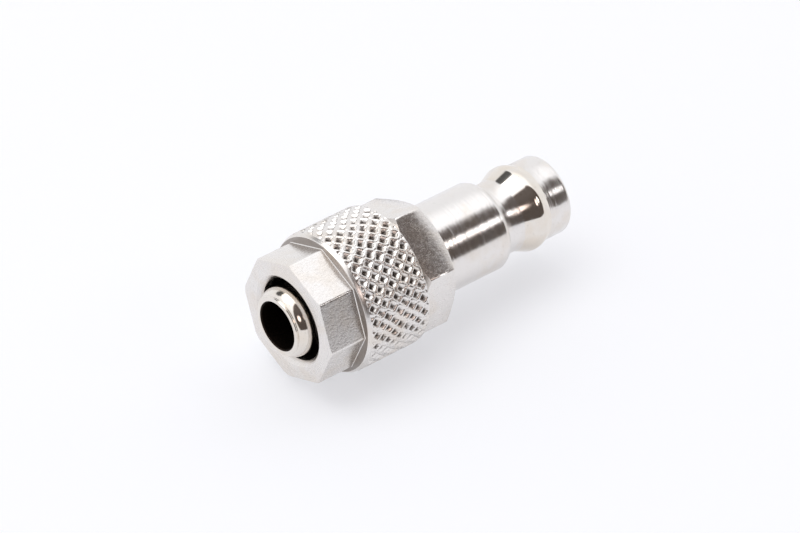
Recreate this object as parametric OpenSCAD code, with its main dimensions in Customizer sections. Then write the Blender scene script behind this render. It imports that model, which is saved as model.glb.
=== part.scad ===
// Push-on hose plug with a knurled union nut, millimetres, +Z up.
// The axis lies along X: hose end towards -X, coupling end towards +X.
// The part lies on its knurl, so Z = 0 touches the lowest knurl crest.
// Stations along the axis are counted from the nut's front face.

/* [Union nut] */
// Length of the nut from its front face to its rear face
nut_length = 11.6; // [9:0.1:14]
// Width across the eight spanner flats
octagon_across_flats = 12.1; // [11:0.1:12.6]
// Length of the eight flats
octagon_length = 4.1; // [3:0.1:5]
// Diameter of the turned face inside the octagon's corners
octagon_face_diameter = 12.8; // [12.6:0.1:13]
// Turn of the octagon's first corner from +Y towards +Z
nut_turn = 1.9; // [0:0.1:45]
// Diameter over the knurl's crests
knurl_diameter = 14.4; // [14:0.1:16]
// Depth from a knurl crest to the bottom of a pit
knurl_depth = 0.4; // [0.2:0.05:0.5]
// Pits around the knurl in one ring
knurl_count = 32; // [24:1:40]
// Rings of pits along the knurl
knurl_rings = 9; // [7:1:11]
// Length of the plain bevel ahead of the knurl
front_bevel_length = 0.4; // [0.2:0.05:0.6]
// Length of the plain bevel behind the knurl
rear_bevel_length = 0.15; // [0.1:0.05:0.4]
// Radial depth of both bevels
knurl_bevel_depth = 0.25; // [0.1:0.05:0.35]

/* [Nut bore] */
// Diameter of the mouth that the hose passes through
mouth_diameter = 8.4; // [8:0.1:9]
// Diameter of the flare where it meets the front face
flare_diameter = 9.4; // [9:0.1:10]
// Radial clearance between the two thread crests
thread_clearance = 0.1; // [0.05:0.05:0.2]
// Bevel at the rear end of the threaded bore
nut_thread_bevel = 0.4; // [0.2:0.05:0.6]
// Gap between the nut's clamping cone and the body's nose
nose_gap = 0.25; // [0.2:0.05:0.5]

/* [Thread and hexagon] */
// Gap between the nut's rear face and the hexagon
nut_gap = 0.15; // [0.1:0.05:0.4]
// Diameter over the body's thread crests
thread_diameter = 9.8; // [9.4:0.1:10]
// Length of the body's thread with its relief
thread_length = 6.9; // [5:0.1:8]
// Bevel at the front of the thread
thread_bevel = 0.5; // [0.2:0.05:0.8]
// Diameter of the relief between thread and hexagon
relief_diameter = 8.6; // [8:0.1:9]
// Length of the relief
relief_length = 1.1; // [0.6:0.1:1.6]
// Width across the body's six flats
hexagon_across_flats = 11.9; // [11.5:0.1:12.6]
// Length of the hexagon between its end faces
hexagon_length = 4.1; // [3:0.1:5]
// Diameter of the hexagon's turned end faces
hexagon_face_diameter = 11.5; // [11:0.1:11.8]
// Angle of the hexagon's turned bevels from the end face
hexagon_bevel_angle = 30; // [20:1:40]
// Turn of the hexagon's first corner from +Y towards +Z
body_turn = 39.1; // [0:0.1:60]

/* [Hose nipple] */
// Diameter of the nipple behind its bead
nipple_diameter = 6; // [5.8:0.1:6.4]
// Distance from the nipple's end to the front of the thread
nipple_length = 6.1; // [5.6:0.1:8]
// Largest diameter of the bead
bead_diameter = 7.12; // [6.8:0.02:7.6]
// Distance from the nipple's end to the bead's largest diameter
bead_reach = 1.35; // [1.1:0.05:1.8]
// Radius of the bead's rounded outline
bead_radius = 1.8; // [1.5:0.1:2.4]
// Diameter of the flat lip at the nipple's end
lip_diameter = 5.96; // [5.6:0.02:6.2]
// Length of the lip ahead of the bead
lip_length = 0.16; // [0.1:0.02:0.3]

/* [Plug end] */
// Diameter of the plain shank
shank_diameter = 9.12; // [8.8:0.02:9.6]
// Length of the shank behind the hexagon
shank_length = 8.25; // [6:0.05:10]
// Length of the shank's end bevel
shank_bevel_length = 0.4; // [0.2:0.05:0.6]
// Depth of the shank's end bevel
shank_bevel_depth = 0.2; // [0.1:0.02:0.4]
// Diameter of the locking groove
groove_diameter = 7.4; // [7:0.1:7.8]
// Length of the locking groove
groove_length = 2.35; // [2:0.05:3]
// Length of the cone from the groove up to the collar
cone_length = 1.4; // [1.2:0.05:1.8]
// Diameter where the cone meets the collar's crown
crown_start_diameter = 8.68; // [8.4:0.02:8.8]
// Largest diameter of the collar
collar_diameter = 8.86; // [8.8:0.02:9]
// Radius of the collar's crown
crown_radius = 1.5; // [1.2:0.1:2]
// Diameter where the crown meets the rear cone
crown_end_diameter = 8.6; // [8.4:0.02:8.7]
// Length of the rear cone down to the tip
rear_cone_length = 0.55; // [0.4:0.05:0.8]
// Diameter of the tip
tip_diameter = 8.16; // [7.8:0.02:8.3]
// Length of the tip beyond the collar
tip_length = 2.7; // [2:0.05:4]
// Bevel at the end of the tip
tip_bevel = 0.22; // [0.1:0.02:0.4]

/* [Through bore] */
// Diameter of the bore through the body
bore_diameter = 4.9; // [4.5:0.1:5.1]
// Bevel at both ends of the bore
bore_bevel = 0.12; // [0.05:0.01:0.2]

/* [Hidden] */
$fn = 96;
over = 1;

hexagon_front = nut_length + nut_gap;
hexagon_rear = hexagon_front + hexagon_length;
thread_front = hexagon_front - thread_length;
nipple_end = thread_front - nipple_length;
bead_station = nipple_end + bead_reach;
bead_centre_radius = bead_diameter / 2 - bead_radius;

shank_end = hexagon_rear + shank_length;
groove_end = shank_end + groove_length;
crown_start = groove_end + cone_length;
crown_centre_radius = collar_diameter / 2 - crown_radius;
crown_run_in = sqrt(pow(crown_radius, 2) - pow(crown_start_diameter / 2 - crown_centre_radius, 2));
crown_run_out = sqrt(pow(crown_radius, 2) - pow(crown_end_diameter / 2 - crown_centre_radius, 2));
crown_station = crown_start + crown_run_in;
crown_end = crown_station + crown_run_out;
tip_start = crown_end + rear_cone_length;
tip_end = tip_start + tip_length;

thread_bore_diameter = thread_diameter + 2 * thread_clearance;
clamp_cone_end = thread_front - nose_gap;
clamp_cone_start = clamp_cone_end - (thread_bore_diameter - mouth_diameter) / 2;

knurl_radius = knurl_diameter / 2;
knurl_start = octagon_length + front_bevel_length;
knurl_end = nut_length - rear_bevel_length;
ring_step = (knurl_end - knurl_start) / (knurl_rings + 1);

middle = (nipple_end + tip_end) / 2;
axis_height = knurl_radius;

brass_nickel = [0.78, 0.76, 0.73];
nut_nickel = [0.74, 0.72, 0.70];

// Stands work that was turned about Z along X, with station 0 at the nut's front face.
module along_axis() {
    translate([-middle, 0, axis_height])
        rotate([0, 90, 0])
            children();
}

// Bar with flat sides, its first corner turned from +Y towards +Z.
module flat_sided_bar(sides, across_flats, start, length, turn) {
    rotate([0, 0, turn + 90])
        translate([0, 0, start])
            cylinder(d = across_flats / cos(180 / sides), h = length, $fn = sides);
}

// Straight turned hole or pin between two stations.
module turned(start, end, diameter) {
    translate([0, 0, start])
        cylinder(d = diameter, h = end - start);
}

// Cone between two stations.
module turned_cone(start, end, start_diameter, end_diameter) {
    translate([0, 0, start])
        cylinder(d1 = start_diameter, d2 = end_diameter, h = end - start);
}

// Radius of one knurl point: rows and columns of even sum are crests.
function knurl_point_radius(ring, column) =
    (ring == 0 || ring == knurl_rings + 1) ? knurl_radius - knurl_bevel_depth / 4 :
    ((ring + column) % 2 == 0) ? knurl_radius : knurl_radius - knurl_depth;

function knurl_point(radius, column, station) =
    let (angle = column * 180 / knurl_count)
    [radius * cos(angle), radius * sin(angle), station];

// Each square of the net is split along its ridge, from crest to crest.
function knurl_square(row, column, columns) =
    let (
        next = (column + 1) % columns,
        a = row * columns + column,
        b = row * columns + next,
        c = (row + 1) * columns + next,
        d = (row + 1) * columns + column
    )
    ((row + column) % 2 == 1) ? [[a, b, c], [a, c, d]] : [[a, b, d], [b, c, d]];

// Barrel covered with a diamond knurl: two hands of ridges cross around sunken pits.
module knurled_barrel() {
    columns = 2 * knurl_count;
    rows = knurl_rings + 4;
    bevel_radius = knurl_radius - knurl_bevel_depth;
    points = concat(
        [for (column = [0 : columns - 1]) knurl_point(bevel_radius, column, octagon_length)],
        [for (ring = [0 : knurl_rings + 1])
            for (column = [0 : columns - 1])
                knurl_point(knurl_point_radius(ring, column), column, knurl_start + ring * ring_step)],
        [for (column = [0 : columns - 1]) knurl_point(bevel_radius, column, nut_length)]
    );
    sides = [for (row = [0 : rows - 2])
        for (column = [0 : columns - 1])
            each knurl_square(row, column, columns)];
    front = [for (column = [0 : columns - 1]) columns - 1 - column];
    rear = [for (column = [0 : columns - 1]) (rows - 1) * columns + column];
    polyhedron(points = points, faces = concat([front, rear], [for (face = sides) [face[2], face[1], face[0]]]));
}

// Octagonal spanner end with a fine turned bevel at its front corners.
module octagon_end() {
    corner_diameter = octagon_across_flats / cos(22.5);
    bevel_length = (corner_diameter - octagon_face_diameter) / 2 * tan(30);
    intersection() {
        flat_sided_bar(8, octagon_across_flats, 0, octagon_length + over, nut_turn);
        union() {
            turned_cone(0, 2 * bevel_length, octagon_face_diameter, 2 * corner_diameter - octagon_face_diameter);
            turned(2 * bevel_length, octagon_length + 2 * over, 2 * corner_diameter - octagon_face_diameter);
        }
    }
}

// Everything bored out of the nut: flare, mouth, clamping cone, thread bore and rear bevel.
module nut_bore() {
    flare_length = (flare_diameter - mouth_diameter) / 2;
    turned_cone(-over, flare_length, flare_diameter + 2 * over, mouth_diameter);
    turned(0, clamp_cone_end, mouth_diameter);
    turned_cone(clamp_cone_start, clamp_cone_end, mouth_diameter, thread_bore_diameter);
    turned(clamp_cone_end, nut_length + over, thread_bore_diameter);
    turned_cone(
        nut_length - nut_thread_bevel,
        nut_length + over,
        thread_bore_diameter,
        thread_bore_diameter + 2 * (nut_thread_bevel + over)
    );
}

// The loose nut that clamps the hose on the nipple.
module union_nut() {
    color(nut_nickel)
        along_axis()
            difference() {
                union() {
                    knurled_barrel();
                    octagon_end();
                }
                nut_bore();
            }
}

// Hexagon with both ends turned to a bevel.
module bevelled_hexagon() {
    reach = hexagon_across_flats / 2;
    bevel_length = (reach - hexagon_face_diameter / 2 + over) * tan(hexagon_bevel_angle);
    wide_diameter = hexagon_across_flats + 2 * over;
    intersection() {
        flat_sided_bar(6, hexagon_across_flats, hexagon_front, hexagon_length, body_turn);
        union() {
            turned_cone(hexagon_front, hexagon_front + bevel_length, hexagon_face_diameter, wide_diameter);
            turned(hexagon_front + bevel_length, hexagon_rear - bevel_length, wide_diameter);
            turned_cone(hexagon_rear - bevel_length, hexagon_rear, wide_diameter, hexagon_face_diameter);
        }
    }
}

// Part of a rounded crown between two stations, as a half outline.
module crown_outline(centre_radius, station, radius, start, end) {
    intersection() {
        translate([centre_radius, station])
            circle(r = radius);
        translate([0, start])
            square([centre_radius + radius + over, end - start]);
    }
}

// Half outline of the hose end: lip, bead, nipple, thread crests and relief.
module hose_outline() {
    lip_end = nipple_end + lip_length;
    relief_start = hexagon_front - relief_length;
    polygon([
        [0, nipple_end],
        [lip_diameter / 2, nipple_end],
        [lip_diameter / 2, bead_station],
        [nipple_diameter / 2, bead_station],
        [nipple_diameter / 2, thread_front],
        [thread_diameter / 2 - thread_bevel, thread_front],
        [thread_diameter / 2, thread_front + thread_bevel],
        [thread_diameter / 2, relief_start],
        [relief_diameter / 2, relief_start],
        [relief_diameter / 2, hexagon_front + over],
        [0, hexagon_front + over]
    ]);
    crown_outline(bead_centre_radius, bead_station, bead_radius, lip_end, thread_front + over / 2);
}

// Half outline of the coupling end: shank, locking groove, crowned collar and tip.
module plug_outline() {
    polygon([
        [0, hexagon_rear - over],
        [shank_diameter / 2, hexagon_rear - over],
        [shank_diameter / 2, shank_end - shank_bevel_length],
        [shank_diameter / 2 - shank_bevel_depth, shank_end],
        [groove_diameter / 2, shank_end],
        [groove_diameter / 2, groove_end],
        [crown_start_diameter / 2, crown_start],
        [crown_end_diameter / 2, crown_end],
        [tip_diameter / 2, tip_start],
        [tip_diameter / 2, tip_end - tip_bevel],
        [tip_diameter / 2 - tip_bevel, tip_end],
        [0, tip_end]
    ]);
    crown_outline(crown_centre_radius, crown_station, crown_radius, crown_start, crown_end);
}

// Half outline of the bore through the whole body, bevelled at both ends.
module bore_outline() {
    bore_radius = bore_diameter / 2;
    polygon([
        [0, nipple_end - over],
        [bore_radius + bore_bevel + over, nipple_end - over],
        [bore_radius, nipple_end + bore_bevel],
        [bore_radius, tip_end - bore_bevel],
        [bore_radius + bore_bevel + over, tip_end + over],
        [0, tip_end + over]
    ]);
}

// One turned piece of hexagon bar, bored through.
module plug_body() {
    color(brass_nickel)
        along_axis()
            difference() {
                union() {
                    rotate_extrude()
                        hose_outline();
                    bevelled_hexagon();
                    rotate_extrude()
                        plug_outline();
                }
                rotate_extrude()
                    bore_outline();
            }
}

plug_body();
union_nut();
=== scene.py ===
"""Push-on hose plug with a knurled union nut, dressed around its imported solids.

Two turned pieces are modelled here: the plug body and its loose nut. Each is
one closed skin. An outline is drawn point by point, spun round the axis and
then shaped into flats, knurl and thread. Sizes are millimetres along the axis
from the nut's front face, and become metres when the outline is drawn.
"""

import logging
import math
from dataclasses import dataclass, field
from enum import Enum
from typing import Any, Callable

import bpy
import numpy as np
from mathutils import Matrix, Vector


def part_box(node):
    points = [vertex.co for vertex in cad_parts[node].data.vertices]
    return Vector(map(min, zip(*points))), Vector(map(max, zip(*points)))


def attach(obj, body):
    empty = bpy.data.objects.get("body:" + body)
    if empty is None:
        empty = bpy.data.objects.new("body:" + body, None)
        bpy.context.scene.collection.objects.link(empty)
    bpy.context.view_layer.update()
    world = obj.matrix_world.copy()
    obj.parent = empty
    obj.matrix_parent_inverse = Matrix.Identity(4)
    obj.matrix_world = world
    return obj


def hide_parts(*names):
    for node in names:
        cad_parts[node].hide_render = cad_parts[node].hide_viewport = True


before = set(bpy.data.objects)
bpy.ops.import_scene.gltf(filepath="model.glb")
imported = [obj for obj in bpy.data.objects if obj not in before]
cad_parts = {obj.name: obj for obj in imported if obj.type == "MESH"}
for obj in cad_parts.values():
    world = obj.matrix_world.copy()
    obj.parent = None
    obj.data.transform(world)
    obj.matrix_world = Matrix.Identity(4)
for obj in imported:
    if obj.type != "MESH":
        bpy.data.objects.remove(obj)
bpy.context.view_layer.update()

log = logging.getLogger("hose_plug")
MM = 0.001
PER_METRE = 1000.0
SAME_POINT = 1e-6
POINTS_AT_ONCE = 20000
CRISP_DEGREES = 30.0
BEVEL_SLOPE = math.tan(math.radians(30))
Colour = tuple[float, float, float]
NUT_LOW, NUT_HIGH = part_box("union_nut")
NUT_FACE_X = NUT_LOW[0]
AXIS_HEIGHT = (NUT_LOW[2] + NUT_HIGH[2]) / 2


class Zone(Enum):
    """Which part of a turned outline a row of points belongs to."""

    TURNED = 0
    FACE = 1
    FLATS = 2
    KNURL = 3
    THREAD = 4
    POLISHED = 5
    BORE = 6
    STEP = 7


@dataclass(frozen=True)
class Row:
    """One ring of points: its station, its radius and what it becomes."""

    station: float
    radius: float
    zone: Zone
    tag: str = ""


Form = Callable[[Row, np.ndarray], tuple[np.ndarray, np.ndarray]]


# ---------------------------------------------------------------- outlines


def deselect_everything() -> None:
    """Leave edit mode and clear the selection."""
    if bpy.context.object is not None and bpy.context.object.mode != "OBJECT":
        bpy.ops.object.mode_set(mode="OBJECT")
    bpy.ops.object.select_all(action="DESELECT")


def in_frame(station: float, radius: float, angle: float) -> Vector:
    """Turn a place on the lathe into a place in the part's frame.

    Args:
        station: millimetres behind the nut's front face.
        radius: millimetres from the axis.
        angle: radians from +Y towards +Z.

    Returns:
        The place in metres.
    """
    return Vector(
        (
            NUT_FACE_X + station * MM,
            radius * MM * math.cos(angle),
            AXIS_HEIGHT + radius * MM * math.sin(angle),
        )
    )


def rounded_row(
    rows: list[Row], first: Row, corner: tuple[float, float], last: Row, steps: int
) -> None:
    """Add an arc-like run of rows round a corner.

    Args:
        rows: the outline so far, which grows.
        first: the row where the rounding starts.
        corner: station and radius of the sharp corner.
        last: the row where the rounding ends.
        steps: rows between first and last.
    """
    rows.append(first)
    for step in range(1, steps + 1):
        t = step / (steps + 1)
        a, b, c = (1 - t) ** 2, 2 * t * (1 - t), t * t
        rows.append(
            Row(
                a * first.station + b * corner[0] + c * last.station,
                a * first.radius + b * corner[1] + c * last.radius,
                first.zone,
            )
        )
    rows.append(last)


@dataclass
class Lathe:
    """Spins an outline into a closed skin and keeps which ring each point is on."""

    name: str
    rows: list[Row]
    columns: int
    first_angle: float
    sectors: int = 16
    piece: bpy.types.Object = field(init=False)

    def draw_outline(self) -> None:
        """Draw the outline as one chain of edges, point after point."""
        deselect_everything()
        points = [in_frame(row.station, row.radius, self.first_angle) for row in self.rows]
        bpy.ops.mesh.primitive_plane_add(size=MM, location=points[0])
        self.piece = bpy.context.object
        self.piece.name = self.name
        self.piece.data.name = self.name
        bpy.ops.object.transform_apply(location=True, rotation=True, scale=True)
        bpy.ops.object.mode_set(mode="EDIT")
        bpy.ops.mesh.select_all(action="SELECT")
        bpy.ops.mesh.merge(type="CENTER")
        for here, there in zip(points, points[1:] + points[:1]):
            bpy.ops.mesh.extrude_region_move(TRANSFORM_OT_translate={"value": there - here})

    def spin(self) -> None:
        """Spin one sector of the outline, repeat it round the axis and close the seams."""
        sector = 2 * math.pi / self.sectors
        turn = {"center": (0.0, 0.0, AXIS_HEIGHT), "axis": (1.0, 0.0, 0.0)}
        bpy.ops.mesh.select_all(action="SELECT")
        bpy.ops.mesh.spin(steps=self.columns // self.sectors, angle=sector, **turn)
        bpy.ops.mesh.select_all(action="SELECT")
        rest = self.sectors - 1
        bpy.ops.mesh.spin(steps=rest, angle=2 * math.pi * rest / self.sectors, dupli=True, **turn)
        bpy.ops.mesh.select_all(action="SELECT")
        bpy.ops.mesh.remove_doubles(threshold=SAME_POINT)
        bpy.ops.mesh.normals_make_consistent(inside=False)
        bpy.ops.object.mode_set(mode="OBJECT")

    def points(self) -> np.ndarray:
        """All points of the skin, in metres."""
        co = np.empty(len(self.piece.data.vertices) * 3)
        self.piece.data.vertices.foreach_get("co", co)
        return co.reshape(-1, 3)

    def ring_of_each_point(self, co: np.ndarray) -> np.ndarray:
        """Find the outline row that each point came from.

        Args:
            co: the points as spun.

        Returns:
            The row's index for each point.
        """
        station = (co[:, 0] - NUT_FACE_X) / MM
        radius = np.hypot(co[:, 1], co[:, 2] - AXIS_HEIGHT) / MM
        rows = np.array([(row.station, row.radius) for row in self.rows])
        best = np.zeros(len(co), dtype=int)
        for start in range(0, len(co), POINTS_AT_ONCE):
            part = slice(start, start + POINTS_AT_ONCE)
            along = station[part, None] - rows[None, :, 0]
            across = radius[part, None] - rows[None, :, 1]
            best[part] = np.hypot(along, across).argmin(axis=1)
        return best

    def shape(self, form: Form) -> np.ndarray:
        """Move each ring to its shaped stations and radii.

        Args:
            form: gives stations and radii for a row at the given angles.

        Returns:
            The row's index for each point.
        """
        co = self.points()
        ring = self.ring_of_each_point(co)
        angle = np.arctan2(co[:, 2] - AXIS_HEIGHT, co[:, 1])
        for index, row in enumerate(self.rows):
            mine = ring == index
            station, radius = form(row, angle[mine])
            co[mine, 0] = NUT_FACE_X + station * MM
            co[mine, 1] = radius * MM * np.cos(angle[mine])
            co[mine, 2] = AXIS_HEIGHT + radius * MM * np.sin(angle[mine])
        self.piece.data.vertices.foreach_set("co", co.ravel())
        self.piece.data.update()
        return ring

    def finish(
        self, ring: np.ndarray, slots: dict[Zone, int], materials: list[bpy.types.Material]
    ) -> None:
        """Shade the skin and give each face the finish of its zone.

        Args:
            ring: the row's index for each point.
            slots: the material slot of each zone.
            materials: the finishes in slot order.
        """
        mesh = self.piece.data
        for material in materials:
            mesh.materials.append(material)
        zone_slot = np.array([slots[row.zone] for row in self.rows])
        soft_row = np.array([row.zone in (Zone.KNURL, Zone.THREAD) for row in self.rows])
        loops = np.empty(len(mesh.loops), dtype=int)
        mesh.loops.foreach_get("vertex_index", loops)
        starts = np.empty(len(mesh.polygons), dtype=int)
        mesh.polygons.foreach_get("loop_start", starts)
        corners = np.stack([ring[loops[starts + step]] for step in range(4)])
        low, high = corners.min(axis=0), corners.max(axis=0)
        leading = np.where((high - low) > 1, high, low)
        mesh.polygons.foreach_set("material_index", zone_slot[leading].astype(np.int32))
        deselect_everything()
        self.piece.select_set(True)
        bpy.context.view_layer.objects.active = self.piece
        bpy.ops.object.shade_smooth_by_angle(angle=math.radians(CRISP_DEGREES))
        soft = soft_row[ring]
        ends = np.empty(len(mesh.edges) * 2, dtype=int)
        mesh.edges.foreach_get("vertices", ends)
        crisp = np.empty(len(mesh.edges), dtype=bool)
        mesh.edges.foreach_get("use_edge_sharp", crisp)
        ends = ends.reshape(-1, 2)
        crisp[soft[ends[:, 0]] & soft[ends[:, 1]]] = False
        mesh.edges.foreach_set("use_edge_sharp", crisp)
        mesh.update()


def turned_skin(
    lathe: Lathe, form: Form, slots: dict[Zone, int], materials: list[bpy.types.Material]
) -> bpy.types.Object:
    """Draw, spin, shape and finish one turned piece.

    Args:
        lathe: the piece's outline and columns.
        form: gives stations and radii for a row at the given angles.
        slots: the material slot of each zone.
        materials: the finishes in slot order.

    Returns:
        The finished piece.
    """
    lathe.draw_outline()
    lathe.spin()
    lathe.finish(lathe.shape(form), slots, materials)
    return lathe.piece


def flat_radius(
    angle: np.ndarray, across: float, sides: int, first: float, corner_break: float
) -> np.ndarray:
    """Radius of a flat-sided bar at each angle, its corners slightly broken.

    Args:
        angle: radians from +Y towards +Z.
        across: width across the flats.
        sides: number of flats.
        first: angle of the first corner.
        corner_break: how far the corners are taken down.

    Returns:
        The radius at each angle.
    """
    pitch = 2 * math.pi / sides
    away = np.mod(angle - first, pitch) - pitch / 2
    radius = across / 2 / np.cos(away)
    return np.minimum(radius, across / 2 / math.cos(pitch / 2) - corner_break)


def smooth_step(low: float, high: float, value: np.ndarray) -> np.ndarray:
    """Ease from 0 at low to 1 at high."""
    t = np.clip((value - low) / (high - low), 0.0, 1.0)
    return t * t * (3 - 2 * t)


def ripple(
    station: float, angle: np.ndarray, waves: int, slope: float, height: float = 1.0
) -> np.ndarray:
    """Make a sine ripple round the axis that drifts along it.

    Args:
        station: millimetres behind the nut's front face.
        angle: radians round the axis.
        waves: waves in one turn.
        slope: radians of drift per millimetre.
        height: the ripple's height.

    Returns:
        The ripple at each angle.
    """
    return height * np.sin(waves * angle + slope * station)


def thread_height(station: float, angle: np.ndarray, pitch: float) -> np.ndarray:
    """Height of a right-hand thread.

    Args:
        station: millimetres behind the nut's front face.
        angle: radians from +Y towards +Z.
        pitch: millimetres from one crest to the next.

    Returns:
        The height at each angle, 1 at the crest and 0 at the root.
    """
    turn = np.mod(station / pitch - angle / (2 * math.pi), 1.0)
    ramp = np.abs(turn - 0.5) * 2
    flat_share = 0.12
    return np.clip((ramp - flat_share) / (1 - 2 * flat_share), 0.0, 1.0)


# --------------------------------------------------------------- the nut


@dataclass
class UnionNut:
    """Knurled nut with an octagonal spanner end, bored and threaded."""

    length: float = 11.6
    across_flats: float = 12.1
    flats_length: float = 4.1
    face_radius: float = 6.4
    turn: float = math.radians(1.9)
    knurl_radius: float = 7.2
    knurl_depth: float = 0.38
    knurl_count: int = 32
    knurl_pitch: float = 1.45
    bevel_radius: float = 6.95
    rim_radius: float = 7.14
    knurl_start: float = 4.5
    knurl_end: float = 11.45
    mouth_radius: float = 4.2
    flare_radius: float = 4.7
    cone_start: float = 3.8
    cone_end: float = 4.6
    thread_radius: float = 5.0
    thread_depth: float = 0.45
    thread_bevel: float = 0.4
    pitch: float = 1.0
    sides: int = 8
    corner_break: float = 0.02
    edge_break: float = 0.04
    knurl_rows: int = 82
    knurl_fade: float = 0.25
    thread_rows_per_turn: int = 8
    columns: int = 512

    def rows(self) -> list[Row]:
        """Draw the nut's outline, from the flare outwards and back through the bore.

        Returns:
            The rows in order.
        """
        face, turned, flats = Zone.FACE, Zone.TURNED, Zone.FLATS
        rows = [
            Row(0.03, self.flare_radius - 0.03, face),
            Row(0.0, self.flare_radius + 0.02, face),
            Row(0.0, 5.3, face),
            Row(0.0, 5.8, face),
            Row(0.0, self.face_radius - 0.02, face, "face_edge"),
            Row(0.05, self.face_radius + 0.01, flats, "flat_start"),
            Row(0.3, self.face_radius + 0.03, flats, "flat"),
            Row(2.0, self.face_radius + 0.04, flats, "flat"),
            Row(self.flats_length - 0.06, self.face_radius + 0.05, flats, "flat"),
            # The shoulder face behind the flats takes a darker nickel: painted shade.
            Row(self.flats_length, self.face_radius + 0.06, Zone.STEP, "flat_root"),
            Row(self.flats_length, self.bevel_radius - 0.05, face),
        ]
        rounded_row(
            rows,
            Row(self.flats_length, self.bevel_radius - 0.04, turned),
            (self.flats_length, self.bevel_radius),
            Row(self.flats_length + 0.04, self.bevel_radius + 0.02, turned),
            1,
        )
        rows.append(Row(self.knurl_start - 0.06, self.rim_radius - 0.02, turned))
        span = self.knurl_end - self.knurl_start
        for step in range(self.knurl_rows + 1):
            station = self.knurl_start + span * step / self.knurl_rows
            rows.append(Row(station, self.knurl_radius, Zone.KNURL))
        rows += [
            Row(self.knurl_end + 0.05, self.rim_radius - 0.02, turned),
            Row(self.length - 0.03, self.bevel_radius + 0.02, turned),
            Row(self.length, self.bevel_radius - 0.04, face),
            Row(self.length, 6.2, face),
            Row(self.length, self.thread_radius + self.thread_depth + 0.06, face),
            Row(self.length - 0.05, self.thread_radius + self.thread_depth, Zone.BORE),
        ]
        first = self.length - 0.05
        last = self.cone_end + 0.25
        steps = int(round((first - last) / self.pitch * self.thread_rows_per_turn))
        for step in range(1, steps):
            rows.append(Row(first + (last - first) * step / steps, self.thread_radius, Zone.THREAD))
        rows += [
            Row(self.cone_end + 0.12, self.thread_radius, Zone.BORE),
            Row(self.cone_end, self.thread_radius - 0.02, Zone.BORE),
            Row(self.cone_start + 0.02, self.mouth_radius + 0.02, Zone.BORE),
            Row(self.cone_start - 0.02, self.mouth_radius, Zone.BORE),
            Row(1.2, self.mouth_radius, Zone.POLISHED),
            Row(self.flare_radius - self.mouth_radius + 0.03, self.mouth_radius, Zone.POLISHED),
            Row(self.flare_radius - self.mouth_radius - 0.02, self.mouth_radius + 0.02, face),
        ]
        return rows

    def pit_depth(self, station: float, angle: np.ndarray) -> np.ndarray:
        """How deep the knurl is pressed in, from 0 on a ridge to 1 in a pit.

        Args:
            station: millimetres behind the front face.
            angle: radians round the axis.

        Returns:
            The depth as a share of the full depth.
        """
        along = station / self.knurl_pitch
        around = np.mod(angle, 2 * math.pi) / (2 * math.pi) * self.knurl_count
        wander = ripple(station, angle, 3, 1.7, 0.05) + ripple(station, angle, 7, -2.3, 0.04)
        right, left = around + along + wander, around - along + wander
        from_right, from_left = np.abs(right - np.round(right)), np.abs(left - np.round(left))
        nearest = 2 * np.minimum(from_right, from_left)
        cell_row = np.floor(right) - np.floor(left)
        cell_turn = np.mod(np.floor(right) + np.floor(left), 2 * self.knurl_count)
        chance = np.mod(np.sin(cell_row * 12.99 + cell_turn * 78.23) * 43758.5, 1.0)
        pit = smooth_step(0.1, 0.92, nearest) * (0.72 + 0.28 * chance)
        crossing = np.hypot(from_right, from_left)
        dimple = (1 - smooth_step(0.05, 0.2, crossing)) * 0.22 * (0.4 + 0.6 * chance)
        grain = ripple(station, angle, 61, 9.1, 0.03) * ripple(station, angle, 47, -17.3)
        return np.clip(pit + dimple + grain + 0.03, 0.0, 1.0)

    def form(self, row: Row, angle: np.ndarray) -> tuple[np.ndarray, np.ndarray]:
        """Shape one ring of the nut.

        Args:
            row: the ring's row of the outline.
            angle: the angles of its points.

        Returns:
            The stations and the radii of its points.
        """
        station = np.full(angle.shape, row.station)
        radius = np.full(angle.shape, row.radius)
        flat = flat_radius(angle, self.across_flats, self.sides, self.turn, self.corner_break)
        bevel = np.maximum(flat - self.face_radius, 0.0) * BEVEL_SLOPE
        if row.tag == "face_edge":
            radius = np.minimum(self.face_radius, flat) - self.edge_break
        elif row.tag == "flat_start":
            station, radius = self.edge_break + bevel, flat
        elif row.tag == "flat":
            radius = flat
        elif row.tag == "flat_root":
            radius = flat + 0.06
        elif row.zone is Zone.KNURL:
            into = min(row.station - self.knurl_start, self.knurl_end - row.station)
            edge = float(smooth_step(0.0, self.knurl_fade, np.array(into)))
            crest = self.rim_radius + (self.knurl_radius - self.rim_radius) * edge
            depth = self.knurl_depth * (0.35 + 0.65 * edge) * self.pit_depth(row.station, angle)
            radius = crest - depth * (0.0 if into < SAME_POINT else 1.0)
        elif row.zone is Zone.THREAD:
            height = thread_height(row.station, angle, self.pitch)
            ends = max(0.0, 1 - max(0.0, self.cone_end + 0.8 - row.station) / 0.6)
            into_bevel = max(0.0, row.station - (self.length - self.thread_bevel))
            root = self.thread_radius + self.thread_depth * ends
            radius = root - (root - self.thread_radius) * height
            radius = np.maximum(radius, self.thread_radius + into_bevel)
        return station, radius

    def build(self, plating: "Plating") -> bpy.types.Object:
        """Model the nut and give it its finishes.

        Args:
            plating: the finishes.

        Returns:
            The nut's piece.
        """
        lathe = Lathe("union_nut_knurled", self.rows(), self.columns, self.turn)
        slots = {
            Zone.TURNED: 0, Zone.FACE: 0, Zone.POLISHED: 0, Zone.FLATS: 1, Zone.KNURL: 2,
            Zone.BORE: 3, Zone.THREAD: 3, Zone.STEP: 4,
        }
        # The nut's bore and thread take a near-black painted shade.
        finishes = plating.in_slots(
            "nickel_turned_nut", "nickel_milled_flats", "nickel_knurl", "nut_bore_painted_shade",
            "nickel_step_painted_shade",
        )
        return turned_skin(lathe, self.form, slots, finishes)


# -------------------------------------------------------------- the body


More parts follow.
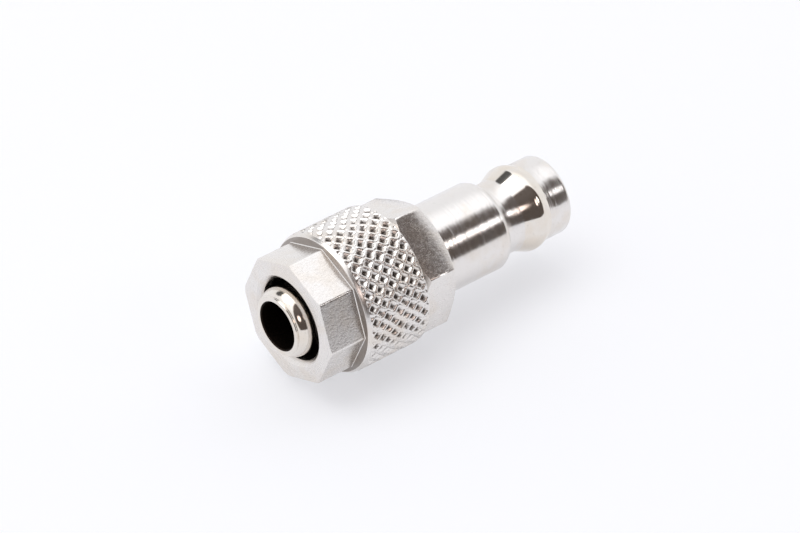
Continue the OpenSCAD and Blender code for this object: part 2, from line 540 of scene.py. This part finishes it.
@dataclass
class PlugBody:
    """Nipple, thread, hexagon, shank, groove, collar and tip in one turned piece."""

    nipple_end: float = -1.25
    lip_radius: float = 2.98
    lip_length: float = 0.16
    bead_station: float = 0.1
    bead_centre: float = 1.76
    bead_radius: float = 1.8
    nipple_radius: float = 3.0
    thread_front: float = 4.85
    thread_radius: float = 4.9
    thread_bevel: float = 0.5
    thread_depth: float = 0.45
    pitch: float = 1.0
    relief_start: float = 10.65
    relief_radius: float = 4.3
    hexagon_front: float = 11.75
    hexagon_rear: float = 15.85
    across_flats: float = 11.9
    face_radius: float = 5.75
    turn: float = math.radians(39.1)
    shank_radius: float = 4.56
    shank_end: float = 24.1
    groove_radius: float = 3.7
    groove_end: float = 26.45
    crown_start: float = 27.85
    crown_centre: float = 2.93
    crown_radius: float = 1.5
    crown_station: float = 28.3618
    crown_end: float = 28.9726
    tip_start: float = 29.5226
    tip_radius: float = 4.08
    tip_end: float = 32.2226
    bore_radius: float = 2.45
    bore_bevel: float = 0.12
    sides: int = 6
    corner_break: float = 0.03
    thread_rows_per_turn: int = 10
    shank_rows: int = 8
    bore_rows: int = 12
    bead_rows: int = 26
    crown_rows: int = 20
    columns: int = 384

    def arc_rows(
        self,
        rows: list[Row],
        centre: tuple[float, float],
        radius: float,
        span: tuple[float, float],
        steps: int,
    ) -> None:
        """Add polished rows along an arc of the outline.

        Args:
            rows: the outline so far, which grows.
            centre: station and radius of the arc's centre.
            radius: the arc's own radius.
            span: first and last station.
            steps: number of steps.
        """
        first, last = (math.asin((s - centre[0]) / radius) for s in span)
        for step in range(steps + 1):
            a = first + (last - first) * step / steps
            station, height = centre[0] + radius * math.sin(a), centre[1] + radius * math.cos(a)
            rows.append(Row(station, height, Zone.POLISHED))

    def rows(self) -> list[Row]:
        """Draw the body's outline, from the lip to the tip and back through the bore.

        Returns:
            The rows in order.
        """
        turned, face, flats, polished = Zone.TURNED, Zone.FACE, Zone.FLATS, Zone.POLISHED
        rows: list[Row] = [
            Row(self.nipple_end, self.bore_radius + self.bore_bevel, polished),
            Row(self.nipple_end, self.lip_radius - 0.06, polished),
            Row(self.nipple_end + 0.02, self.lip_radius - 0.015, polished),
            Row(self.nipple_end + 0.07, self.lip_radius, polished),
            Row(self.nipple_end + self.lip_length - 0.03, self.lip_radius - 0.03, polished),
            Row(self.nipple_end + self.lip_length + 0.01, self.lip_radius + 0.01, polished),
        ]
        run = math.sqrt(self.bead_radius**2 - (self.nipple_radius - self.bead_centre) ** 2)
        self.arc_rows(
            rows,
            (self.bead_station, self.bead_centre),
            self.bead_radius,
            (self.nipple_end + self.lip_length + 0.03, self.bead_station + run),
            self.bead_rows,
        )
        rows += [
            Row(3.0, self.nipple_radius, turned),
            Row(self.thread_front - 0.1, self.nipple_radius, turned),
            Row(self.thread_front, self.nipple_radius + 0.1, face),
            Row(self.thread_front, self.thread_radius - self.thread_bevel - 0.02, face),
            Row(self.thread_front + 0.03, self.thread_radius - self.thread_bevel + 0.01, turned),
        ]
        first, last = self.thread_front + 0.12, self.relief_start - 0.05
        steps = int(round((last - first) / self.pitch * self.thread_rows_per_turn))
        for step in range(steps + 1):
            rows.append(Row(first + (last - first) * step / steps, self.thread_radius, Zone.THREAD))
        rows += [
            Row(self.relief_start, self.thread_radius - self.thread_depth - 0.02, turned),
            Row(self.relief_start + 0.05, self.relief_radius, turned),
            Row(self.hexagon_front - 0.08, self.relief_radius, turned),
            Row(self.hexagon_front, self.relief_radius + 0.08, face),
            Row(self.hexagon_front, 5.0, face),
            Row(self.hexagon_front, self.face_radius - 0.03, face),
            Row(self.hexagon_front + 0.02, self.face_radius + 0.02, turned),
            Row(self.hexagon_front + 0.1, self.face_radius + 0.05, flats, "front_bevel_end"),
            Row(self.hexagon_front + 0.2, self.face_radius + 0.08, flats, "front_flat"),
            Row((self.hexagon_front + self.hexagon_rear) / 2, self.face_radius + 0.1, flats, "flat"),
            Row(self.hexagon_rear - 0.2, self.face_radius + 0.08, flats, "rear_flat"),
            Row(self.hexagon_rear - 0.1, self.face_radius + 0.05, turned, "rear_bevel_end"),
            Row(self.hexagon_rear - 0.02, self.face_radius + 0.02, turned),
            Row(self.hexagon_rear, self.face_radius - 0.03, face),
            Row(self.hexagon_rear, 5.1, face),
            Row(self.hexagon_rear, self.shank_radius + 0.07, face),
            Row(self.hexagon_rear + 0.07, self.shank_radius, turned),
        ]
        plain = self.shank_end - 0.4 - self.hexagon_rear
        for step in range(1, self.shank_rows):
            station = self.hexagon_rear + step / self.shank_rows * plain
            rows.append(Row(station, self.shank_radius, turned))
        rounded_row(
            rows,
            Row(self.shank_end - 0.5, self.shank_radius, turned),
            (self.shank_end - 0.4, self.shank_radius),
            Row(self.shank_end - 0.3, self.shank_radius - 0.05, turned),
            2,
        )
        rounded_row(
            rows,
            Row(self.shank_end - 0.06, self.shank_radius - 0.17, turned),
            (self.shank_end, self.shank_radius - 0.2),
            Row(self.shank_end, self.shank_radius - 0.26, face),
            2,
        )
        rows += [
            Row(self.shank_end, self.groove_radius + 0.1, face),
            Row(self.shank_end + 0.03, self.groove_radius + 0.03, turned),
            Row(self.shank_end + 0.1, self.groove_radius, turned),
            Row(self.shank_end + 1.2, self.groove_radius, turned),
            Row(self.groove_end - 0.05, self.groove_radius, turned),
            Row(self.groove_end + 0.05, self.groove_radius + 0.045, polished),
        ]
        self.arc_rows(
            rows,
            (self.crown_station, self.crown_centre),
            self.crown_radius,
            (self.crown_start, self.crown_end),
            self.crown_rows,
        )
        rows += [
            Row(self.tip_start - 0.08, self.tip_radius + 0.033, polished),
            Row(self.tip_start + 0.05, self.tip_radius, turned),
            Row(self.tip_start + 1.3, self.tip_radius, turned),
        ]
        rounded_row(
            rows,
            Row(self.tip_end - 0.32, self.tip_radius, turned),
            (self.tip_end - 0.14, self.tip_radius - 0.02),
            Row(self.tip_end - 0.05, self.tip_radius - 0.15, turned),
            4,
        )
        rows += [
            Row(self.tip_end, self.tip_radius - 0.24, face),
            Row(self.tip_end, 3.2, face),
            Row(self.tip_end, self.bore_radius + self.bore_bevel, face),
            Row(self.tip_end - self.bore_bevel, self.bore_radius, Zone.BORE),
        ]
        for step in range(1, self.bore_rows):
            station = self.tip_end + step / self.bore_rows * (self.nipple_end - self.tip_end)
            rows.append(Row(station, self.bore_radius, Zone.BORE))
        rows.append(Row(self.nipple_end + self.bore_bevel, self.bore_radius, Zone.BORE))
        return rows

    def form(self, row: Row, angle: np.ndarray) -> tuple[np.ndarray, np.ndarray]:
        """Shape one ring of the body.

        Args:
            row: the ring's row of the outline.
            angle: the angles of its points.

        Returns:
            The stations and the radii of its points.
        """
        station = np.full(angle.shape, row.station)
        radius = np.full(angle.shape, row.radius)
        flat = flat_radius(angle, self.across_flats, self.sides, self.turn, self.corner_break)
        bevel = (flat - self.face_radius) * BEVEL_SLOPE
        if row.tag == "front_bevel_end":
            station, radius = self.hexagon_front + bevel - 0.012, flat - 0.02
        elif row.tag == "front_flat":
            station, radius = self.hexagon_front + bevel + 0.03, flat
        elif row.tag == "flat":
            radius = flat
        elif row.tag == "rear_flat":
            station, radius = self.hexagon_rear - bevel - 0.03, flat
        elif row.tag == "rear_bevel_end":
            station, radius = self.hexagon_rear - bevel + 0.012, flat - 0.02
        elif row.zone is Zone.THREAD:
            height = thread_height(row.station, angle, self.pitch)
            start = max(0.0, 1 - max(0.0, self.thread_front + 0.7 - row.station) / 0.7)
            nose = self.thread_radius - max(0.0, self.thread_front + self.thread_bevel - row.station)
            crest = np.full(angle.shape, nose)
            root = self.thread_radius - self.thread_depth
            radius = np.minimum(crest, root + self.thread_depth * np.maximum(height, 1 - start))
        return station, radius

    def build(self, plating: "Plating") -> bpy.types.Object:
        """Model the body and give it its finishes.

        Args:
            plating: the finishes.

        Returns:
            The body's piece.
        """
        lathe = Lathe("plug_body_turned", self.rows(), self.columns, self.turn)
        slots = {
            Zone.TURNED: 0, Zone.FACE: 0, Zone.THREAD: 0, Zone.FLATS: 1, Zone.POLISHED: 2,
            Zone.BORE: 3,
        }
        # The body's bore takes a near-black painted shade.
        finishes = plating.in_slots(
            "nickel_turned_body", "nickel_drawn_flats", "nickel_polished_bead", "body_bore_painted_shade"
        )
        return turned_skin(lathe, self.form, slots, finishes)


# ------------------------------------------------------------ shader tools


class Wire:
    """An output socket that can be used in sums."""

    def __init__(self, graph: "Graph", socket: bpy.types.NodeSocket) -> None:
        """Keep the graph and the socket."""
        self.graph = graph
        self.socket = socket

    def _sum(self, operation: str, left: Any, right: Any) -> "Wire":
        """Add one Math node."""
        return self.graph.node("ShaderNodeMath", {"operation": operation}, {0: left, 1: right})

    def __add__(self, other: Any) -> "Wire":
        """self + other."""
        return self._sum("ADD", self, other)

    def __radd__(self, other: Any) -> "Wire":
        """other + self."""
        return self._sum("ADD", other, self)

    def __sub__(self, other: Any) -> "Wire":
        """self - other."""
        return self._sum("SUBTRACT", self, other)

    def __rsub__(self, other: Any) -> "Wire":
        """other - self."""
        return self._sum("SUBTRACT", other, self)

    def __mul__(self, other: Any) -> "Wire":
        """self * other."""
        return self._sum("MULTIPLY", self, other)

    def __rmul__(self, other: Any) -> "Wire":
        """other * self."""
        return self._sum("MULTIPLY", other, self)

    def __pow__(self, other: Any) -> "Wire":
        """self to the power of other."""
        return self._sum("POWER", self, other)


class Graph:
    """A node tree with one method that makes any node."""

    def __init__(self, tree: bpy.types.NodeTree) -> None:
        """Start with an empty tree."""
        self.tree = tree
        tree.nodes.clear()

    def node(
        self,
        kind: str,
        settings: dict[str, Any] | None = None,
        inputs: dict[Any, Any] | None = None,
        output: Any = 0,
    ) -> Wire:
        """Make a node, set it, and connect its inputs.

        Args:
            kind: the node's type.
            settings: attributes, set before the inputs.
            inputs: a value or a Wire for each socket, by name or number.
            output: the output to return, by name or number.

        Returns:
            The output as a Wire, which holds nothing for a node without outputs.
        """
        made = self.tree.nodes.new(kind)
        for name, value in (settings or {}).items():
            setattr(made, name, value)
        for name, value in (inputs or {}).items():
            socket = made.inputs[name]
            if isinstance(value, Wire):
                self.tree.links.new(value.socket, socket)
            else:
                socket.default_value = value
        return Wire(self, made.outputs[output] if len(made.outputs) else None)

    def place(self) -> tuple[Wire, Wire, Wire, Wire]:
        """Read the place on the surface from its object coordinates.

        Returns:
            Millimetres along X, then along Y and Z from the axis, then the radius.
        """
        where = self.node("ShaderNodeTexCoord", output="Object")
        parts = [self.node("ShaderNodeSeparateXYZ", inputs={0: where}, output=axis) for axis in range(3)]
        x, y, z = parts[0] * PER_METRE, parts[1] * PER_METRE, (parts[2] - AXIS_HEIGHT) * PER_METRE
        return x, y, z, (y * y + z * z) ** 0.5

    def noise(self, vector: Wire, scale: float, detail: float = 2.0, roughness: float = 0.5) -> Wire:
        """Noise about 0.5."""
        return self.node(
            "ShaderNodeTexNoise",
            {"noise_dimensions": "3D"},
            {"Vector": vector, "Scale": scale, "Detail": detail, "Roughness": roughness},
        )

    def vector(self, x: Any, y: Any, z: Any) -> Wire:
        """Three values as one vector."""
        return self.node("ShaderNodeCombineXYZ", inputs={0: x, 1: y, 2: z})

    def between(
        self, value: Wire, low: float, high: float, at_low: float = 0.0, at_high: float = 1.0
    ) -> Wire:
        """Ease a value from one level at low to another at high."""
        span = {"Value": value, "From Min": low, "From Max": high, "To Min": at_low, "To Max": at_high}
        return self.node("ShaderNodeMapRange", {"interpolation_type": "SMOOTHSTEP"}, span)

    def blend(self, share: Any, first: Any, second: Any) -> Wire:
        """Mix two colours."""
        return self.node(
            "ShaderNodeMix",
            {"data_type": "RGBA", "clamp_factor": True},
            {0: share, 6: first, 7: second},
            output=2,
        )


class Grain(Enum):
    """How a surface was worked, which sets its marks."""

    TURNED = "turned"
    DRAWN = "drawn"
    KNURLED = "knurled"
    POLISHED = "polished"
    INNER = "inner"


@dataclass(frozen=True)
class MetalFinish:
    """One nickel-plated finish.

    The marks are the tool's own: their height is in millimetres, and how
    closely they lie is per millimetre.
    """

    name: str
    grain: Grain
    colour: Colour
    shade: Colour
    roughness: float
    marks: float
    marks_per_mm: float = 5.0
    tarnish: Colour = (0.97, 0.94, 0.9)
    cloud_scale: float = 0.35
    speck_scale: float = 7.0
    speck_strength: float = 0.35
    # Radii between which the knurl's painted pit shade fades out.
    pit_radius: float = 6.88
    ridge_radius: float = 7.06

    def marks_height(self, graph: Graph) -> Wire:
        """Make the height of the tool marks, by how the surface was worked.

        Args:
            graph: the material's node tree.

        Returns:
            The height, about 0.5.
        """
        x, y, z, radius = graph.place()
        if self.grain in (Grain.TURNED, Grain.POLISHED, Grain.INNER):
            coarse, fine = self.marks_per_mm, self.marks_per_mm * 2.7
            wide = graph.vector(x * coarse, radius * coarse, (y + z) * 0.12)
            narrow = graph.vector(x * fine, radius * fine, (y - z) * 0.3)
            return graph.noise(wide, 1.0, 2.0, 0.6) * 0.7 + graph.noise(narrow, 1.0, 1.0) * 0.3
        if self.grain is Grain.DRAWN:
            grain = graph.vector(x * 0.6, y, z)
            return graph.noise(grain, self.marks_per_mm, 3.0, 0.65)
        return graph.noise(graph.vector(x, y, z), self.marks_per_mm, 3.0, 0.6)

    def make(self) -> bpy.types.Material:
        """Build the material.

        Returns:
            The node-based material.
        """
        material = bpy.data.materials.new(self.name)
        material.use_nodes = True
        graph = Graph(material.node_tree)
        x, y, z, radius = graph.place()
        cloud = graph.noise(graph.vector(x, y, z), self.cloud_scale, 3.0, 0.55)
        speck = graph.noise(graph.vector(x, y, z), self.speck_scale, 2.0, 0.5)
        colour = graph.blend(
            graph.between(cloud, 0.42, 0.68),
            (*self.colour, 1.0),
            (*(part * worn for part, worn in zip(self.colour, self.tarnish)), 1.0),
        )
        # Painted shade: the knurl is darkened by radius, from none on the ridges to full at the pit
        # bottoms.
        if self.grain is Grain.KNURLED:
            pit_shade_mask = graph.between(radius, self.pit_radius, self.ridge_radius, 1.0, 0.0)
            colour = graph.blend(pit_shade_mask, colour, (*self.shade, 1.0))
        # Painted shade: bores take two near-black colours mixed by noise, standing in for the shade deep
        # inside them.
        elif self.grain is Grain.INNER:
            colour = graph.blend(graph.between(speck, 0.35, 0.7), (*self.shade, 1.0), (*self.colour, 1.0))
        else:
            spots = graph.between(speck, 0.66, 0.74)
            colour = graph.blend(spots * self.speck_strength, colour, (*self.shade, 1.0))
        height = self.marks_height(graph)
        roughness = graph.between(height, 0.3, 0.7, self.roughness * 0.85, self.roughness * 1.25)
        bump = graph.node(
            "ShaderNodeBump",
            inputs={"Strength": 1.0, "Distance": self.marks * MM, "Height": height},
        )
        shader = graph.node(
            "ShaderNodeBsdfPrincipled",
            inputs={"Base Color": colour, "Metallic": 1.0, "Roughness": roughness, "Normal": bump},
        )
        graph.node("ShaderNodeOutputMaterial", inputs={"Surface": shader})
        return material


class Plating:
    """Every finish of the fitting."""

    def __init__(self) -> None:
        """Make the materials once."""
        nickel = (0.79, 0.765, 0.745)
        warm = (0.79, 0.75, 0.70)
        # Dark specks on the nickel, and also the painted shade in the knurl's pits.
        oxide_and_pit_shade = (0.10, 0.085, 0.075)
        # Near-black colour painted on the bores as shade.
        bore_black_shade = (0.012, 0.009, 0.007)
        # A darker copy of the nickel, painted on the shoulder face behind the flats as shade.
        step = (0.36, 0.33, 0.31)
        # Dark colours painted on the body's bore and on the nut's bore and thread as shade.
        body_bore_shade = (0.03, 0.02, 0.015)
        nut_bore_shade = (0.05, 0.035, 0.025)
        turned, drawn, inner = Grain.TURNED, Grain.DRAWN, Grain.INNER
        finishes = (
            MetalFinish("nickel_turned_body", turned, nickel, oxide_and_pit_shade, 0.16, 0.03),
            MetalFinish("nickel_drawn_flats", drawn, nickel, oxide_and_pit_shade, 0.23, 0.012, 4.0),
            MetalFinish("nickel_polished_bead", Grain.POLISHED, warm, oxide_and_pit_shade, 0.09, 0.0015, 3.0),
            MetalFinish("body_bore_painted_shade", inner, body_bore_shade, bore_black_shade, 0.5, 0.01),
            MetalFinish("nickel_turned_nut", turned, nickel, oxide_and_pit_shade, 0.26, 0.008, 4.0),
            MetalFinish("nickel_milled_flats", drawn, nickel, oxide_and_pit_shade, 0.25, 0.012, 5.0),
            MetalFinish("nickel_step_painted_shade", turned, step, oxide_and_pit_shade, 0.3, 0.03, 6.0),
            # The knurl's pits get painted shade in the dark colour.
            MetalFinish("nickel_knurl", Grain.KNURLED, nickel, oxide_and_pit_shade, 0.24, 0.01, 6.0),
            MetalFinish("nut_bore_painted_shade", inner, nut_bore_shade, bore_black_shade, 0.45, 0.01),
        )
        self.made = {finish.name: finish.make() for finish in finishes}

    def in_slots(self, *names: str) -> list[bpy.types.Material]:
        """List finishes in the order of a piece's slots."""
        return [self.made[name] for name in names]


# ----------------------------------------------------------------- studio


@dataclass(frozen=True)
class Patch:
    """A round patch of the room: which way it lies, its edges and its strength.

    The edges are cosines of the angle from its middle. The strength of a dark
    patch is the share of light it takes away, and a bright one adds its own.
    """

    way: tuple[float, float, float]
    outer: float
    inner: float
    strength: float


DARK_ROOM = Patch((0.10, -0.86, 0.50), 0.62, 0.68, 0.9)
DARK_GAP = Patch((-0.065, 0.73, 0.68), 0.965, 0.985, 0.9)
SMALL_LAMP = Patch((0.519, -0.68, 0.516), 0.990, 0.996, 3.2)
WINDOW = Patch((-0.36, -0.77, 0.53), 0.984, 0.992, 2.0)
SIDE_LAMP = Patch((0.22, -0.81, 0.54), 0.987, 0.993, 2.0)


@dataclass
class Studio:
    """Floor, light and camera."""

    floor_radius: float = 0.16
    floor_sides: int = 96
    camera_place: tuple[float, float, float] = (-0.234210, -0.295029, 0.282455)
    looking: tuple[float, float, float] = (0.518997, 0.617286, -0.591271)
    lens: float = 225.0
    sensor: float = 36.0
    floor_glow: float = 0.52
    room_light: float = 1.05
    overhead_light: float = 0.4
    white: tuple[float, ...] = (0.975, 0.98, 1.0, 1.0)
    warm_dark: tuple[float, ...] = (1.0, 0.84, 0.78, 1.0)

    def add_floor(self) -> None:
        """A pale round floor under the part."""
        deselect_everything()
        bpy.ops.mesh.primitive_circle_add(
            vertices=self.floor_sides, radius=self.floor_radius, fill_type="NGON"
        )
        floor = bpy.context.object
        floor.name = "floor"
        material = bpy.data.materials.new("floor_white")
        material.use_nodes = True
        graph = Graph(material.node_tree)
        shader = graph.node(
            "ShaderNodeBsdfPrincipled",
            inputs={"Base Color": (0.93, 0.935, 0.96, 1.0), "Roughness": 0.7, "Specular IOR Level": 0.1},
        )
        glow = graph.node("ShaderNodeEmission", inputs={"Color": (0.95, 0.96, 1.0, 1.0), "Strength": 1.0})
        seen = graph.node("ShaderNodeLightPath", output="Is Camera Ray")
        mirrored = graph.node("ShaderNodeLightPath", output="Is Glossy Ray")
        share = (seen + mirrored) * self.floor_glow
        surface = graph.node("ShaderNodeMixShader", inputs={0: share, 1: shader, 2: glow})
        graph.node("ShaderNodeOutputMaterial", inputs={"Surface": surface})
        floor.data.materials.append(material)

    def add_world(self) -> None:
        """A pale room, brighter overhead, its dark side lit by three small patches."""
        world = bpy.data.worlds.new("studio")
        bpy.context.scene.world = world
        world.use_nodes = True
        graph = Graph(world.node_tree)
        way = graph.node("ShaderNodeTexCoord", output="Generated")
        x, y, z = (graph.node("ShaderNodeSeparateXYZ", inputs={0: way}, output=axis) for axis in range(3))
        room, gap, lamp = (
            self.seen_patch(graph, x, y, z, patch) for patch in (DARK_ROOM, DARK_GAP, SMALL_LAMP)
        )
        overhead = graph.between(z, 0.6, 0.9)
        level = self.room_light + overhead * self.overhead_light
        level = level * (1.0 - room * DARK_ROOM.strength) * (1.0 - gap * DARK_GAP.strength)
        level = level + lamp * SMALL_LAMP.strength
        for patch in (WINDOW, SIDE_LAMP):
            level = level + self.seen_patch(graph, x, y, z, patch) * patch.strength
        rays = graph.node("ShaderNodeLightPath", output="Is Camera Ray")
        level = level * (1.0 - rays) + rays
        tint = graph.blend(room * (1.0 - lamp), self.white, self.warm_dark)
        shade = graph.node("ShaderNodeBackground", inputs={"Color": tint, "Strength": level})
        graph.node("ShaderNodeOutputWorld", inputs={"Surface": shade})

    def seen_patch(self, graph: Graph, x: Wire, y: Wire, z: Wire, patch: Patch) -> Wire:
        """Tell how much of a patch lies in a direction.

        Args:
            graph: the world's node tree.
            x: the direction's X.
            y: the direction's Y.
            z: the direction's Z.
            patch: the patch.

        Returns:
            1 in the patch and 0 outside it.
        """
        aim = Vector(patch.way).normalized()
        return graph.between(x * aim.x + y * aim.y + z * aim.z, patch.outer, patch.inner)

    def add_lamp(
        self, name: str, place: tuple[float, float, float], size: float, power: float, tint: Colour
    ) -> None:
        """A square soft lamp aimed at the part.

        Args:
            name: the lamp's name.
            place: where it hangs, in metres.
            size: its side.
            power: watts.
            tint: its colour.
        """
        data = bpy.data.lights.new(name, "AREA")
        data.size = size
        data.energy = power
        data.color = tint
        lamp = bpy.data.objects.new(name, data)
        bpy.context.collection.objects.link(lamp)
        lamp.location = place
        lamp.rotation_euler = (-Vector(place)).to_track_quat("-Z", "Y").to_euler()

    def add_camera(self) -> None:
        """The camera, well back with a long lens."""
        data = bpy.data.cameras.new("camera")
        data.lens = self.lens
        data.sensor_width = self.sensor
        camera = bpy.data.objects.new("camera", data)
        bpy.context.collection.objects.link(camera)
        forward = Vector(self.looking).normalized()
        right = forward.cross(Vector((0, 0, 1))).normalized()
        up = right.cross(forward)
        turn = Matrix((right, up, -forward)).transposed().to_4x4()
        place = Vector((NUT_FACE_X, 0.0, AXIS_HEIGHT)) + Vector(self.camera_place)
        camera.matrix_world = Matrix.Translation(place) @ turn
        bpy.context.scene.camera = camera

    def build(self) -> None:
        """Set up everything round the part."""
        self.add_floor()
        self.add_world()
        self.add_lamp("softbox_overhead", (-0.12, 0.16, 0.60), 0.4, 0.9, (1.0, 0.99, 0.97))
        self.add_camera()
        bpy.context.scene.view_settings.view_transform = "Standard"


def main() -> None:
    """Build the studio and both pieces."""
    logging.basicConfig(level=logging.INFO, format="%(message)s")
    Studio().build()
    plating = Plating()
    body = PlugBody().build(plating)
    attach(body, "plug")
    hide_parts("plug_body")
    log.info("%s: %d faces", body.name, len(body.data.polygons))
    nut = UnionNut().build(plating)
    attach(nut, "nut")
    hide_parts("union_nut")
    log.info("%s: %d faces", nut.name, len(nut.data.polygons))


if __name__ == "__main__":
    main()
